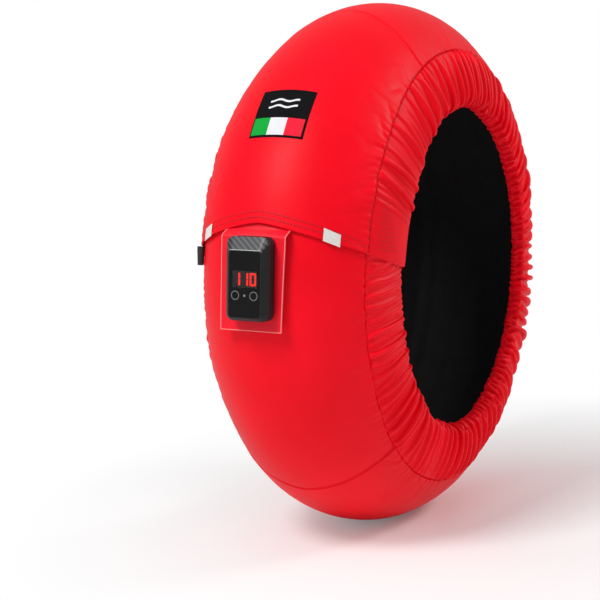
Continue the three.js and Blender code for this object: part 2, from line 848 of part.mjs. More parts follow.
// Display block with three lit digits of seven segments, showing 110 and a point
function addDisplay() {
  const low = frontBottom + displayStandoff;
  const high = overlayFloor - digitRise;
  const bottom = -digitHeight / 2;
  const stroke = (x, y, width, height) => {
    const geometry = new THREE.BoxGeometry(width, height, 2 * digitRise);
    geometry.translate(x, y, high);
    return geometry;
  };
  const upright = (x, half) =>
    stroke(x, (half * digitHeight) / 4, digitStroke, digitHeight / 2 - segmentGap);
  const level = (x, y) => stroke(x, y, digitWidth - digitStroke, digitStroke);
  const parts = [windowBlock(low, high, pieceGap)];
  for (const place of [-1, 0]) {
    const x = place * digitPitch + digitWidth / 2 - digitStroke / 2;
    parts.push(upright(x, -1), upright(x, 1));
  }
  const centre = digitPitch;
  const sideways = (digitWidth - digitStroke) / 2;
  for (const x of [centre - sideways, centre + sideways]) parts.push(upright(x, -1), upright(x, 1));
  for (const y of [bottom + digitStroke / 2, -bottom - digitStroke / 2]) parts.push(level(centre, y));
  addTo(controller, "display_block", join(parts), lit);
}
addDisplay();

// Circuit board on the bosses, with the touch springs and the lamp that stand on it
const boardLow = backTop + pieceGap;
const boardTop = boardLow + boardThickness;
const springTop = overlayFloor - caseWall - pieceGap;
addTo(
  controller,
  "circuit_board",
  loft([outline(boardLow, caseWall + boardClearance), outline(boardTop, caseWall + boardClearance)]),
  board,
);
for (const [hand, side] of [["left", -1], ["right", 1]])
  addTo(
    controller,
    `touch_spring_${hand}`,
    bar(side * keySpread, keyHeight, springRadius, boardTop + pieceGap, springTop),
    steel,
  );
addTo(
  controller,
  "indicator_lamp",
  bar(0, keyHeight, lampRadius, boardTop + pieceGap, faceLevel, lampSides),
  lit,
);

// Clamp plate behind the tab, and the countersunk screws that pull the case against it
const clampTop = -tabStack - pieceGap;
const clampBottom = clampTop - clampThickness;
const clampOutline = (z) => ({
  z,
  half: clampHalfWidth,
  top: clampHalfLength,
  bottom: -clampHalfLength,
  corner: clampCorner,
});

// A countersunk screw, or the hole for one where it is given a clearance
function screwShape(clearance) {
  const head = screwHeadRadius + clearance;
  const shank = screwRadius + clearance;
  const start = clampBottom - (clearance > 0 ? cutterReach : 0);
  const tip = backBottom + screwBite + clearance;
  const profile = [
    [0, start],
    [head, start],
    [head, clampBottom + screwHeadRim],
    [shank, clampBottom + screwHeadDepth],
    [shank, tip],
    [0, tip],
  ];
  const geometry = new THREE.LatheGeometry(
    profile.map(([r, z]) => new THREE.Vector2(r, z)),
    screwSides,
  );
  geometry.rotateX(Math.PI / 2);
  return geometry;
}
addTo(
  controller,
  "clamp_plate",
  cut(
    loft([clampOutline(clampBottom), clampOutline(clampTop)]),
    screwPlaces().map(([x, y]) => screwShape(pieceGap).translate(x, y, 0)),
  ),
  steel,
);
screwPlaces().forEach(([x, y], k) =>
  addTo(controller, `case_screw_${k + 1}`, screwShape(0).translate(x, y, 0), steel),
);

// Rubber boot at the flap's left corner, seated on the front panel with its open bore downward
function addBoot() {
  const profile = [
    [0, 0],
    [bootRadius, 0],
    [bootRadius, bootCollar],
    [bootTipRadius, bootLength],
    [bootBore, bootLength],
    [bootBore, bootLength - bootBoreDepth],
    [0, bootLength - bootBoreDepth],
  ];
  const geometry = new THREE.LatheGeometry(
    profile.map(([r, y]) => new THREE.Vector2(r, y)),
    bootSides,
  );
  const angle = flapHem(bootTurn) - bootDrop;
  const foot = coverPoint(angle, bootTurn, bootRadius + pieceGap);
  const tip = coverPoint(angle - bootAimAngle, bootTurn, bootRadius + pieceGap);
  const along = tip.sub(foot).normalize();
  geometry.applyQuaternion(new THREE.Quaternion().setFromUnitVectors(new THREE.Vector3(0, 1, 0), along));
  geometry.translate(foot.x, foot.y, foot.z);
  addTo(warmer, "lead_boot", geometry, rubber);
}
addBoot();

export default warmer;
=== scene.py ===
import math

import bpy
import numpy as np
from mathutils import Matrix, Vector


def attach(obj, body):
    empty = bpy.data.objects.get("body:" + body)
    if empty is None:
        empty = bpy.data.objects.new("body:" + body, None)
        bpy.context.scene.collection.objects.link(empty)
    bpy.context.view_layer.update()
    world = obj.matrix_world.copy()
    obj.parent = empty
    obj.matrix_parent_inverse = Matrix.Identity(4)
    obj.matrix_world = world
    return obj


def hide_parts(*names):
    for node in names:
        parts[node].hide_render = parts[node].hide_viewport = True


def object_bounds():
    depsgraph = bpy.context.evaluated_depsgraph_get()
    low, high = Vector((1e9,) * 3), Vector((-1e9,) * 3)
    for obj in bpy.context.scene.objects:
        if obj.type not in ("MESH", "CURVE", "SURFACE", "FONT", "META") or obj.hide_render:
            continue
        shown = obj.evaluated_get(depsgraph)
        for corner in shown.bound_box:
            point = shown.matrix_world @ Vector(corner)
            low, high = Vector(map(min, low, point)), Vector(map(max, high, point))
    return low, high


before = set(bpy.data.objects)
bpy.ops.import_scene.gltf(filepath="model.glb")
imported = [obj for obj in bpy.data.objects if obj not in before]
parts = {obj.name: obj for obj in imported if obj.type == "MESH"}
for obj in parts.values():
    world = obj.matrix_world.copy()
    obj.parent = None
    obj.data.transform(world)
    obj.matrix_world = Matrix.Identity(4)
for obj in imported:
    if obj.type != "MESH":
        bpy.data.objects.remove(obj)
cad_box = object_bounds()

# Camera
# It looks at the warmer from low on its right, in front, at the place of the photograph.
camera_azimuth = math.radians(-65.263)
camera_elevation = math.radians(6.345)
camera_distance = 1.99359

camera_back = Vector(
    (
        math.sin(camera_azimuth) * math.cos(camera_elevation),
        -math.cos(camera_azimuth) * math.cos(camera_elevation),
        math.sin(camera_elevation),
    )
)
camera = bpy.data.objects.new("camera", bpy.data.cameras.new("camera"))
camera.location = camera_back * camera_distance
camera.rotation_euler = camera_back.to_track_quat("Z", "Y").to_euler()
camera.data.lens = 91.673
camera.data.sensor_width = 36
camera.data.shift_x = -0.13733
camera.data.shift_y = -0.06332
bpy.context.scene.collection.objects.link(camera)
bpy.context.scene.camera = camera

# Inner lining
# Black heat-proof aramid cloth that lies on the tyre. It is quilted to the wadding in channels
# that hold the heating tape, and its edge is sewn into the hem.
half_width = 0.1205
crown_to_widest = 0.123
widest_radius = 0.2105
widest_turn = 90
seam_turn = 59.4
hem_inset = 0.0136
hem_drop = 0.0041
lining_edge_turn = 172
lining_bend_turn = 88
lining_tread_turn = 82
lining_channel_turns = (-58, -40, -28, -9, 9, 28, 40, 58)
lining_channel_width = 4.0
lining_stitch_depth = 0.0016
lining_quilting_fade = (75, 62)
lining_depth = 0.0069
lining_hem_depth = 0.0050
inner_start = 30.5
inner_end = 389.5

# A wave texture of scale 1 repeats after this many metres
wave_repeat = 0.314


def smooth(value, low, high):
    """0 up to low, 1 from high on, and an S curve between."""
    share = np.clip((np.asarray(value, float) - low) / (high - low), 0, 1)
    return share * share * (3 - 2 * share)


def cover_point(angle, turn, height=0.0):
    """A point of the cover: angle round the wheel, turn round the section, height above the cloth."""
    angle, turn, height = np.broadcast_arrays(
        np.asarray(angle, float), np.asarray(turn, float), np.asarray(height, float)
    )
    size = np.abs(turn)
    near_hem = size > widest_turn
    bend = np.radians(np.where(near_hem, size - widest_turn, size))
    sin = np.where(near_hem, np.cos(bend), np.sin(bend))
    cos = np.where(near_hem, -np.sin(bend), np.cos(bend))
    across = np.where(near_hem, hem_inset, half_width)
    up = np.where(near_hem, hem_drop, crown_to_widest)
    middle = np.where(near_hem, half_width - hem_inset, 0)
    normal_y, normal_r = sin / across, cos / up
    length = np.hypot(normal_y, normal_r)
    y = -np.sign(turn) * (middle + across * sin + normal_y / length * height)
    r = widest_radius + up * cos + normal_r / length * height
    around = np.radians(angle)
    return np.stack([-r * np.cos(around), y, r * np.sin(around)], -1)


def mesh_of(name, points, faces, uv=None):
    """An object from corner points and faces, smooth shaded, with the UV in metres along the cloth."""
    mesh = bpy.data.meshes.new(name)
    mesh.from_pydata(np.asarray(points).reshape(-1, 3).tolist(), [], np.asarray(faces).tolist())
    mesh.shade_smooth()
    if uv is not None:
        corners = np.empty(len(mesh.loops), np.int32)
        mesh.loops.foreach_get("vertex_index", corners)
        layer = mesh.uv_layers.new(name="cloth")
        layer.data.foreach_set("uv", np.asarray(uv, np.float32)[corners].ravel())
    made = bpy.data.objects.new(name, mesh)
    bpy.context.scene.collection.objects.link(made)
    return made


def grid_faces(rows, columns, first=0, outward=True):
    """The four-cornered faces of a grid of points that are numbered row by row."""
    index = first + np.arange(rows * columns).reshape(rows, columns)
    ring = [index[:-1, :-1], index[:-1, 1:], index[1:, 1:], index[1:, :-1]]
    return np.stack(ring if outward else ring[::-1], -1).reshape(-1, 4)


def cloth_of(name, points, outward=True):
    """Cloth from a grid of points, rows by columns, with its UV measured along the grid."""
    rows, columns = points.shape[:2]
    along = np.linalg.norm(np.diff(points[rows // 2], axis=0), axis=1)
    over = np.linalg.norm(np.diff(points[:, columns // 2], axis=0), axis=1)
    u, v = np.meshgrid(np.r_[0, along.cumsum()], np.r_[0, over.cumsum()])
    faces = grid_faces(rows, columns, outward=outward)
    return mesh_of(name, points, faces, np.stack([u, v], -1).reshape(-1, 2))


def colour(code):
    """The linear colour of an sRGB hex code."""
    values = [int(code[k : k + 2], 16) / 255 for k in (0, 2, 4)]
    return [v / 12.92 if v <= 0.04045 else ((v + 0.055) / 1.055) ** 2.4 for v in values] + [1]


def material_of(name):
    """A new material and its surface shader."""
    made = bpy.data.materials.new(name)
    made.use_nodes = True
    return made, made.node_tree.nodes["Principled BSDF"]


def join_inputs(material, node, inputs):
    """Sets a node's inputs: one that is given another node's socket is linked to it."""
    for name, value in inputs.items():
        if isinstance(value, bpy.types.NodeSocket):
            material.node_tree.links.new(value, node.inputs[name])
        else:
            node.inputs[name].default_value = value


def add_node(material, kind, inputs=None, **settings):
    """Adds a shader node with its inputs and settings."""
    made = material.node_tree.nodes.new(kind)
    for name, value in settings.items():
        setattr(made, name, value)
    join_inputs(material, made, inputs or {})
    return made


def arithmetic(material, operation, *values):
    """The values joined by one kind of arithmetic."""
    inputs = dict(enumerate(values))
    return add_node(material, "ShaderNodeMath", inputs, operation=operation).outputs[0]


def toned(material, pattern, low, high, places=(0.0, 1.0)):
    """A colour that goes from low to high as the pattern does."""
    ramp = add_node(material, "ShaderNodeValToRGB", {"Fac": pattern})
    for stop, code, place in zip(ramp.color_ramp.elements, (low, high), places):
        stop.position = place
        stop.color = colour(code)
    return ramp.outputs["Color"]


def ranged(material, pattern, low, high):
    """A roughness or level that goes from low to high as the pattern does."""
    inputs = {"Value": pattern, "To Min": low, "To Max": high}
    return add_node(material, "ShaderNodeMapRange", inputs).outputs["Result"]


def bumped(material, pattern, depth):
    """The normal of a surface that the pattern raises by the depth."""
    return add_node(material, "ShaderNodeBump", {"Height": pattern, "Distance": depth}).outputs["Normal"]


def noise(material, scale, detail):
    """A soft speckle, about one metre over the scale from spot to spot."""
    return add_node(material, "ShaderNodeTexNoise", {"Scale": scale, "Detail": detail}).outputs["Fac"]


def woven(material, thread, depth, softness=0.012, swell=0.0):
    """The normal of a plain weave with that thread spacing, over softer unevenness."""
    place = add_node(material, "ShaderNodeTexCoord").outputs["UV"]
    crossing = []
    for direction in ("X", "Y"):
        wave = add_node(
            material,
            "ShaderNodeTexWave",
            {"Vector": place, "Scale": wave_repeat / thread, "Distortion": 0.6, "Detail": 1.0},
            bands_direction=direction,
        )
        crossing.append(wave.outputs["Fac"])
    threads = arithmetic(material, "MULTIPLY", *crossing)
    fine = add_node(material, "ShaderNodeBump", {"Height": threads, "Distance": depth, "Strength": 0.7})
    uneven = add_node(
        material, "ShaderNodeTexNoise", {"Vector": place, "Scale": 1 / softness, "Detail": 3.0}
    )
    soft = add_node(
        material,
        "ShaderNodeBump",
        {
            "Height": uneven.outputs["Fac"],
            "Distance": swell or depth * 3,
            "Strength": 0.6,
            "Normal": fine.outputs["Normal"],
        },
    )
    return soft.outputs["Normal"]


# Aramid cloth, woven and undyed black: dull and faintly mottled. Its threads of 0.5 mm can't show,
# so they are drawn at 1.6 mm
aramid, shader = material_of("aramid_woven")
place = add_node(aramid, "ShaderNodeTexCoord").outputs["UV"]
shade = add_node(aramid, "ShaderNodeTexNoise", {"Vector": place, "Scale": 40.0, "Detail": 4.0})
join_inputs(
    aramid,
    shader,
    {
        "Base Color": toned(aramid, shade.outputs["Fac"], "0C0C0E", "1B1B1E"),
        "Roughness": 0.85,
        "Specular IOR Level": 0.3,
        "Normal": woven(aramid, 0.0016, 0.0002),
    },
)

turn_lines = np.r_[
    np.linspace(-lining_edge_turn, -lining_bend_turn, 10),
    np.linspace(-lining_tread_turn, lining_tread_turn, 110),
    np.linspace(lining_bend_turn, lining_edge_turn, 10),
]
angle_lines = np.linspace(inner_start, inner_end, 360)
angles, turns = np.meshgrid(angle_lines, turn_lines)
channel = np.min([np.abs(turns - line) for line in lining_channel_turns], axis=0)
quilting = lining_stitch_depth * (1 - np.exp(-((channel / lining_channel_width) ** 2)))
depth = np.interp(np.abs(turns), [seam_turn, widest_turn], [lining_depth, lining_hem_depth])
swell = quilting * smooth(np.abs(turns), *lining_quilting_fade)
lining = cloth_of("inner_lining_cloth", cover_point(angles, turns, -depth - swell), outward=False)
lining.data.materials.append(aramid)
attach(lining, "root")
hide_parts("inner_lining")

# Heating element and temperature probe
# A flat resistance tape in four lanes round the tyre, and a small steel-cased sensor between them.
# Both lie between the lining and the wadding.
lane_turns = (-49, -19, 19, 49)
lane_half_turn = 1.65
lane_end_gap = 2
lane_rows = 3
lane_columns = 360
element_depth = 0.0062

# Copper-nickel tape, rolled: coppery metal with streaks that spread its highlights
heater_foil, shader = material_of("copper_nickel_tape_rolled")
rough = ranged(heater_foil, noise(heater_foil, 300.0, 4.0), 0.3, 0.55)
join_inputs(heater_foil, shader, {"Base Color": colour("B5713C"), "Metallic": 1.0, "Roughness": rough})

# Stainless steel, turned: bright grey metal with a fine grain
steel, shader = material_of("stainless_steel_turned")
rough = ranged(steel, noise(steel, 900.0, 3.0), 0.22, 0.42)
join_inputs(steel, shader, {"Base Color": colour("C5C8CC"), "Metallic": 1.0, "Roughness": rough})


def finish_part(name, material):
    """Gives a part of the frame its finished material."""
    parts[name].data.materials.clear()
    parts[name].data.materials.append(material)


finish_part("temperature_probe", steel)

lane_points = []
lane_faces = []
for lane in lane_turns:
    angles, turns = np.meshgrid(
        np.linspace(inner_start + lane_end_gap, inner_end - lane_end_gap, lane_columns),
        np.linspace(lane - lane_half_turn, lane + lane_half_turn, lane_rows),
    )
    first = lane_rows * lane_columns * len(lane_points)
    lane_points.append(cover_point(angles, turns, -element_depth).reshape(-1, 3))
    lane_faces.append(grid_faces(lane_rows, lane_columns, first))
element = mesh_of("heating_tape", np.concatenate(lane_points), np.concatenate(lane_faces))
element.data.materials.append(heater_foil)
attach(element, "root")
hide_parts("heating_element")

# Insulation wadding
# A thick polyester felt between the lining and the cover, cut as one strip and butted in front.
# It keeps the heat in and gives the cover its smooth round shape.
flap_rise = 0.00385
flap_rise_end = 34
flap_rest = 62
wad_edge_turn = 75
wad_top = -0.0026
wad_bottom = -0.0055
wad_edge_rise = 0.0008

# Polyester felt: off-white and matt, mottled by fibres matted into tufts of about 4 mm
felt, shader = material_of("polyester_felt")
matted = add_node(felt, "ShaderNodeTexNoise", {"Scale": 260.0, "Detail": 6.0, "Roughness": 0.7})
fibres = matted.outputs["Fac"]
join_inputs(
    felt,
    shader,
    {
        "Base Color": toned(felt, fibres, "C9C3B2", "E4E0D2"),
        "Roughness": 0.95,
        "Normal": bumped(felt, fibres, 0.001),
    },
)


def flap_height(angle):
    """How far the cloth of the flap stands off the tyre, to clear the panel and tab under it."""
    return flap_rise * (1 - smooth(angle, flap_rise_end, flap_rest))


outer_turns = np.linspace(-wad_edge_turn, wad_edge_turn, 60)
wad_angles = np.linspace(inner_start, inner_end, 320)
angles, turns = np.meshgrid(wad_angles, np.r_[outer_turns, outer_turns[::-1], outer_turns[:1]])
top = np.full_like(angles, wad_top) + flap_height(angles)
bottom = np.interp(
    np.abs(turns), [seam_turn, widest_turn], [wad_bottom, wad_bottom + wad_edge_rise]
)
on_top = np.arange(len(angles))[:, None] % (2 * len(outer_turns)) < len(outer_turns)
wadding = cloth_of("insulation_wad", cover_point(angles, turns, np.where(on_top, top, bottom)))
wadding.data.materials.append(felt)
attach(wadding, "root")
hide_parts("insulation_wadding")

# Cover cloth: tread panels
# Red coated nylon, cut in three lengths for the tread. The flap ends in a folded hem sewn with two
# rows of stitches, the main panel runs over the back, and the front panel goes up under the flap.
flap_hem_angle = 13
flap_hem_drop = 7.4
cross_seam_angle = 74
cross_seam_drop = 13
lower_seam_angle = -48.5
lower_seam_rise = 4.5
front_end_angle = 30
seam_allowance = 0.0012
seam_depth = -0.0022
dip_width = 0.0011
lap_height = 0.0008
lap_inset = 0.0026
hem_turned_angle = 1.7
hem_turned_depth = 0.0016
tread_step = 0.0019
floor_level = cad_box[0][2]

# Cloth in a degree of turn, and the radii at which lengths along the tread are measured
turn_length = 0.00205
crown_radius = 0.333
pucker_radius = 0.27

# Width along the seam, reach from it and height, of the short puckers and the long ones
short_pucker = (0.0085, 0.0075, 0.0019)
long_pucker = (0.027, 0.028, 0.0022)
looseness_height = 0.0005

rng = np.random.default_rng(11)
noise_table = rng.uniform(-1, 1, 4096)


def cloth_noise(x, y, seed):
    """Smooth noise from -1 to 1, about one unit from crest to crest."""
    x, y = np.broadcast_arrays(np.asarray(x, float), np.asarray(y, float))
    x0, y0 = np.floor(x), np.floor(y)
    across, up = x - x0, y - y0
    across = across * across * (3 - 2 * across)
    up = up * up * (3 - 2 * up)

    def corner(i, j):
        place = (x0 + i) * 127 + (y0 + j) * 311 + seed * 1013
        return noise_table[place.astype(np.int64) % len(noise_table)]

    low = corner(0, 0) * (1 - across) + corner(1, 0) * across
    high = corner(0, 1) * (1 - across) + corner(1, 1) * across
    return low * (1 - up) + high * up


def folds(along, seed, least=0.3):
    """Rounded ridges with sharp valleys, each of its own height; along counts ridges."""
    ridge = np.floor(along)
    crest = np.sin(np.pi * (along - ridge)) ** 0.75
    own = noise_table[(ridge * 37 + seed * 501).astype(np.int64) % len(noise_table)]
    return crest * (least + (1 - least) * (0.5 + 0.5 * own))


def flap_hem(turn):
    """The angle of the flap's free edge, which dips towards the sides."""
    return flap_hem_angle - flap_hem_drop * (np.minimum(np.abs(turn), widest_turn) / widest_turn) ** 1.25


def cross_seam(turn):
    """The angle of the seam over the top, which slants forward down the sides."""
    return cross_seam_angle - cross_seam_drop * np.minimum(np.abs(turn), seam_turn + 2) / widest_turn


def lower_seam(turn):
    """The angle of the seam low in front."""
    return lower_seam_angle + lower_seam_rise * np.minimum(np.abs(turn), widest_turn) / widest_turn


def full_turn(turn):
    """The same seam, reached the long way round the back."""
    return lower_seam(turn) + 360


def front_end(turn):
    """The angle at which the front panel ends under the flap."""
    return np.full_like(np.asarray(turn, float), front_end_angle)


def no_rise(angle):
    """The height of cloth that lies on the wadding."""
    return np.zeros_like(angle)


def on_floor(points):
    """Presses the lowest cloth flat where it stands."""
    pressed = points.copy()
    pressed[..., 2] = np.maximum(points[..., 2], floor_level)
    return pressed


def tread_height(angle, turn, seed):
    """Puckers that start at the seams with the side panels, and a slight looseness all over."""
    from_seam = (seam_turn - np.abs(turn)) * turn_length
    length = np.radians(angle) * pucker_radius
    side = np.sign(turn) * 3 + seed
    sway = 0.5 * cloth_noise(length / 0.03, from_seam / 0.02, seed + 5)
    width, reach, rise = short_pucker
    short = folds(length / width + sway + side, seed) * np.exp(-from_seam / reach) * rise
    width, reach, rise = long_pucker
    long = folds(length / width + 1.5 * sway, seed + 1, 0.0) * np.exp(-from_seam / reach) * rise
    loose = looseness_height * cloth_noise(length / 0.09, turn / 24, seed + 2)
    return short + long + loose


def panel_edges(distance):
    """How far the cloth dips over the last millimetres before a seam."""
    return -seam_allowance * np.exp(-((distance / dip_width) ** 2))


def nylon_cloth():
    """Coated nylon, woven and dyed red: satin, with soft patches of looser weave."""
    made, shader = material_of("coated_nylon_red")
    place = add_node(made, "ShaderNodeTexCoord").outputs["UV"]
    shade = add_node(made, "ShaderNodeTexNoise", {"Vector": place, "Scale": 9.0, "Detail": 5.0})
    # Threads of 0.4 mm can't show from here, so they are drawn at 1.3 mm
    join_inputs(
        made,
        shader,
        {
            "Base Color": toned(made, shade.outputs["Fac"], "E60016", "F4001E", (0.3, 0.7)),
            "Roughness": ranged(made, shade.outputs["Fac"], 0.4, 0.5),
            "Specular IOR Level": 0.12,
            "Normal": woven(made, 0.0013, 0.00006, softness=0.03, swell=0.0006),
        },
    )
    return made


nylon = nylon_cloth()


def tread_turns():
    """The turns at which the tread's cloth has points, closer together near the seams."""
    evenly = np.linspace(-1, 1, 125)
    steps = seam_turn * (1.35 * evenly - 0.35 * evenly**3)
    return np.r_[-seam_turn, steps, seam_turn][:, None]


def tread_panel(name, node, start, end, rise, seed, size, hemmed=False):
    """One length of the tread's cloth between two seams or hems."""
    share = np.linspace(0, 1, int(size[1] / tread_step))
    turns = np.repeat(tread_turns(), len(share), 1)
    angles = start(turns) + (end(turns) - start(turns)) * share
    height = rise(angles) + tread_height(angles, turns, seed)
    height += panel_edges((seam_turn - np.abs(turns)) * turn_length)
    to_end = np.radians(end(turns) - angles) * crown_radius
    height += panel_edges(to_end) + lap_height * np.exp(-(((to_end - lap_inset) / dip_width) ** 2))
    height[:, -1] = seam_depth
    height[[0, -1]] = seam_depth
    if not hemmed:
        height += panel_edges(np.radians(angles - start(turns)) * crown_radius)
        height[:, 0] = seam_depth
    else:
        under = np.linspace(hem_turned_angle, 0, 7)[:-1]
        under_turns = np.repeat(tread_turns(), len(under), 1)
        under_angles = start(under_turns) + under
        turns = np.hstack([under_turns, turns])
        angles = np.hstack([under_angles, angles])
        height = np.hstack([rise(under_angles) - hem_turned_depth, height])
    panel = cloth_of(name, on_floor(cover_point(angles, turns, height)))
    panel.data.materials.append(nylon)
    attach(panel, "root")
    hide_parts(node)
    return panel


tread_panel("flap_tread", "flap_tread_panel", flap_hem, cross_seam, flap_height, 1, (0.262, 0.34), True)
tread_panel("main_tread", "main_tread_panel", cross_seam, full_turn, no_rise, 2, (0.262, 1.36))
tread_panel("front_tread", "front_tread_panel", lower_seam, front_end, no_rise, 3, (0.262, 0.45))

# Cover cloth: side panels
# The same nylon, cut longer than the hem and drawn in by the elastic. The gathers are fine and deep
# at the hem and run together into a few soft folds towards the tread.
hem_roll = 0.0023
hem_turned_in = (0.004, 0.011)
strip_fullness = 1.17
thread_grid = 0.0025
seam_radius = 0.2731
hem_fold = 0.0098
seam_fold = 0.019
crease_fold = 0.026
hem_fold_reach = 0.022
deepest_sink = -0.0003
motion_kept = 0.9


def cut_widths(angles, size, near, gathered, along, seed):
    """The widths of the strip's grid on the cut cloth, before the elastic draws it in."""
    full = gathered((angles[:, 1:] + angles[:, :-1]) / 2)
    looseness = 1 + 0.22 * cloth_noise(along[:-1] / 0.027, size / 40, seed + 9)
    cut_radius = near * (1 - full) + seam_radius * strip_fullness * looseness * full
    return np.radians(np.diff(angles, axis=1)) * cut_radius


def first_ridges(angles, near, gathered, along, from_hem, seed):
    """Soft ridges to start from, narrow at the hem and wide at the seam, each of its own height."""
    sway = 1.7 * cloth_noise(along / 0.05, from_hem / 0.04, seed)
    sway = sway + 0.8 * cloth_noise(along / 0.022, from_hem / 0.022, seed + 1)
    uneven = 1 + 0.55 * cloth_noise(along / 0.035, from_hem / 0.05, seed + 3)
    creases = folds((along + 0.7 * from_hem) / crease_fold + 0.5 * sway, seed + 4, 0.0) * seam_fold
    narrow = folds(along / hem_fold + sway, seed, 0.45) * hem_fold
    wide = (folds(along / seam_fold + 0.6 * sway, seed + 2, 0.25) * seam_fold + creases) * uneven
    at_hem = np.exp(-from_hem / hem_fold_reach)
    excess = np.maximum(seam_radius * strip_fullness / near - 1, 0.02)
    raised = (narrow * at_hem + wide * (1 - at_hem)) * np.sqrt(excess)
    raised[0] = 0
    raised *= gathered(angles)
    raised[:, [0, -1]] = 0
    return raised


def neighbours(widths, height):
    """Pairs of points with their distance on the cut cloth and how firmly it is kept."""
    rows, columns = widths.shape[0], widths.shape[1] + 1
    slanted = np.hypot(widths[:-1], height)
    pairs = []
    for odd in (0, 1):
        pairs.append((np.s_[:, odd : columns - 1 : 2], np.s_[:, odd + 1 :: 2], widths[:, odd::2], 0.9))
        pairs.append((np.s_[odd : rows - 1 : 2, :], np.s_[odd + 1 :: 2, :], height, 0.9))
        for shift in (0, 1):
            first = np.s_[odd : rows - 1 : 2, shift : columns - 1 + shift]
            second = np.s_[odd + 1 :: 2, 1 - shift : columns - shift]
            pairs.append((first, second, slanted[odd::2], 0.35))
    # Points two apart are kept weakly, which stands for the stiffness of the cloth in bending
    for start in (0, 2):
        over = np.array([c for c in range(columns - 2) if c % 4 in (start, start + 1)])
        down = np.array([r for r in range(rows - 2) if r % 4 in (start, start + 1)])
        double = widths[:, over] + widths[:, over + 1]
        pairs.append((np.s_[:, over], np.s_[:, over + 2], double, 0.3))
        pairs.append((np.s_[down, :], np.s_[down + 2, :], 2 * height, 0.4))
    return pairs


def draw_together(points, free, first, second, length, stiffness):
    """Brings pairs of points to their distance on the cut cloth; sewn points don't move."""
    reach = points[second] - points[first]
    distance = np.sqrt((reach * reach).sum(-1, keepdims=True))
    loose = np.maximum(free[first] + free[second], 1e-9)
    step = reach * (stiffness * (1 - length / np.maximum(distance, 1e-9)) / loose)
    points[first] += step * free[first]
    points[second] -= step * free[second]


def settle(points, seat, normal, widths, height, steps):
    """Lets a strip that is longer than its place buckle off the tyre, for a number of steps."""
    sewn = np.zeros(points.shape[:2], bool)
    sewn[[0, -1, -2]] = True
    sewn[:, [0, -1]] = True
    free = np.where(sewn, 0.0, 1.0)[..., None]
    pairs = neighbours(widths[..., None], height)
    before = points.copy()
    for _ in range(steps):
        moved = (points - before) * motion_kept
        before = points.copy()
        points = points + moved * free
        for first, second, length, stiffness in pairs:
            draw_together(points, free, first, second, length, stiffness)
        lifted = ((points - seat) * normal).sum(-1, keepdims=True)
        points = points + normal * np.maximum(deepest_sink - lifted, 0) * free
    return points


def refined(grid):
    """The grid with a smooth point between each two, both ways."""
    for _ in range(2):
        wide = np.concatenate([2 * grid[:1] - grid[1:2], grid, 2 * grid[-1:] - grid[-2:-1]])
        halfway = (9 * (wide[1:-2] + wide[2:-1]) - wide[:-3] - wide[3:]) / 16
        full = np.empty((2 * len(grid) - 1,) + grid.shape[1:])
        full[::2] = grid
        full[1::2] = halfway
        grid = full.transpose(1, 0, 2)
    return grid


def stitched_down(points, normal, depth, step):
    """Pulls the cloth down by the stitches along its seam and its two ends."""
    from_seam = np.linspace(0, depth, len(points))[:, None]
    count = np.arange(points.shape[1])
    to_end = np.minimum(count, count[::-1]) * step
    dip = panel_edges(from_seam) + panel_edges(to_end[None, :])
    points = points + normal * dip[..., None]
    points[0] += normal[0] * seam_depth / 2
    points[:, [0, -1]] += normal[:, [0, -1]] * seam_depth / 2
    return points


def turned_back(hem, side):
    """The rows of cloth that turn back inside, round the hem's elastic."""
    inward = np.array([0, side, 0])
    outward = -hem * [1, 0, 1]
    outward /= np.linalg.norm(outward, axis=1)[:, None]
    rolled = []
    for bend in np.linspace(0, math.pi, 7)[1:]:
        rolled.append(hem + hem_roll * (math.sin(bend) * inward + (math.cos(bend) - 1) * outward))
    flat = [rolled[-1] - inward * step for step in hem_turned_in]
    return np.stack(rolled + flat)


def side_panel(hand, side, part, start, end, rise, gathered, seed, cut_length):
    """One side panel: a strip sewn to the tread, drawn in along the hem and turned back inside."""
    fine = np.linspace(seam_turn, 180, 1500)
    run = np.r_[0, np.linalg.norm(np.diff(cover_point(90, fine), axis=0), axis=1).cumsum()]
    depth = run[-1]
    rows = int(depth / thread_grid) + 1
    columns = int(cut_length / thread_grid)
    size = np.interp(np.linspace(0, depth, rows), run, fine)[:, None]
    angles = start(size) + (end(size) - start(size)) * np.linspace(0, 1, columns)
    near = np.hypot(*cover_point(angles[:, :1], size)[..., [0, 2]].transpose(2, 0, 1))
    along = np.arange(columns) * cut_length / columns
    from_hem = (depth - np.linspace(0, depth, rows))[:, None]
    widths = cut_widths(angles, size, near, gathered, along, seed)
    raised = first_ridges(angles, near, gathered, along, from_hem, seed)

    seat = cover_point(angles, side * size, rise(angles))
    normal = cover_point(angles, side * size, rise(angles) + 0.001) - seat
    normal /= np.linalg.norm(normal, axis=-1, keepdims=True)
    steps = 150
    points = settle(seat + normal * raised[..., None], seat, normal, widths, depth / (rows - 1), steps)
    points = stitched_down(refined(points), refined(normal), depth, cut_length / (2 * columns))
    points = np.concatenate([points, turned_back(points[-1], side)])

    panel = cloth_of(f"{part}_gathers_{hand}", on_floor(points), outward=side > 0)
    panel.data.materials.append(nylon)
    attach(panel, "root")
    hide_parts(f"{part}_side_{hand}")
    return panel


def full_gathers(angle):
    """The main panel is gathered over its whole length."""
    return np.ones_like(angle)


def flap_gathers(angle):
    """The flap's corner is stiffened and stays smooth."""
    return smooth(angle, 12, 26)


def front_gathers(angle):
    """The front panel's upper end is nearly smooth where it goes under the flap."""
    return 1 - 0.88 * smooth(angle, -8, 2)


